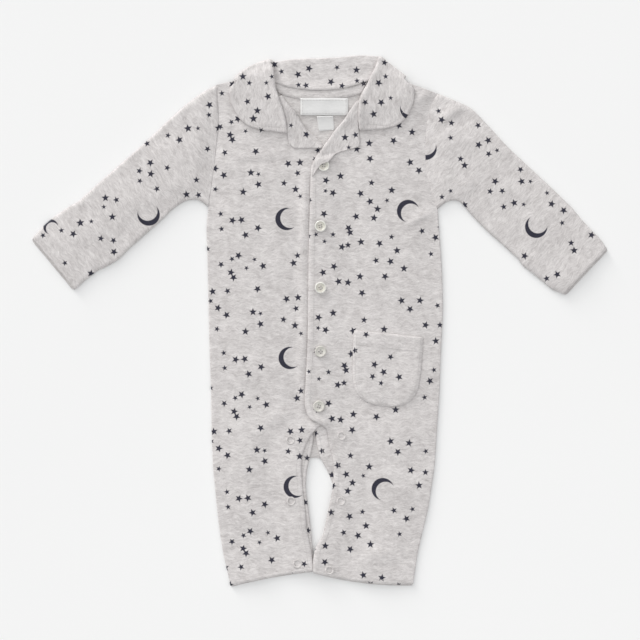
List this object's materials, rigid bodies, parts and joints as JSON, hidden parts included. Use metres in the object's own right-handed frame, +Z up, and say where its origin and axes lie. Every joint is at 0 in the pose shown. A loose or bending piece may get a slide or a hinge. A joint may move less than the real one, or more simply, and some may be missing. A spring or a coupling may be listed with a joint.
{
  "type": "footless sleepsuit",
  "caption": "Footless baby sleepsuit laid flat, front up, with a pyjama collar, long sleeves, a buttoned placket, a patch pocket and open inner legs with poppers.",
  "frame": {"origin": "centre of the garment's outline, on the surface that it lies on", "axes": "+X across the chest to the viewer's right, +Y from the hems to the collar, +Z up out of the surface, out of the front"},
  "size_m": [0.5466, 0.5059, 0.0094],
  "materials": {
    "jersey_print": "warm grey marl cotton jersey with a small dark navy star and moon print, matt",
    "jersey_plain": "the plain reverse of the same marl jersey, matt",
    "label": "woven satin, off-white, bare",
    "button": "ivory pearl, satin",
    "popper": "popper ring under the cloth, in the cloth's own colour"
  },
  "bodies": {
    "root": {"back": "jersey_plain", "front_left": "jersey_print", "front_right": "jersey_print", "sleeve_left": "jersey_print", "sleeve_right": "jersey_print", "collar": "jersey_print", "lapel_left": "jersey_print", "lapel_right": "jersey_print", "pocket": "jersey_print", "leg_facing_left": "jersey_print", "leg_facing_right": "jersey_print", "neck_tape": "jersey_print", "label_main": "label", "label_size": "label", "button_1": "button", "button_2": "button", "button_3": "button", "button_4": "button", "button_5": "button", "popper_left_1": "popper", "popper_left_2": "popper", "popper_left_3": "popper", "popper_right_1": "popper", "popper_right_2": "popper", "popper_right_3": "popper"}
  },
  "joints": []
}
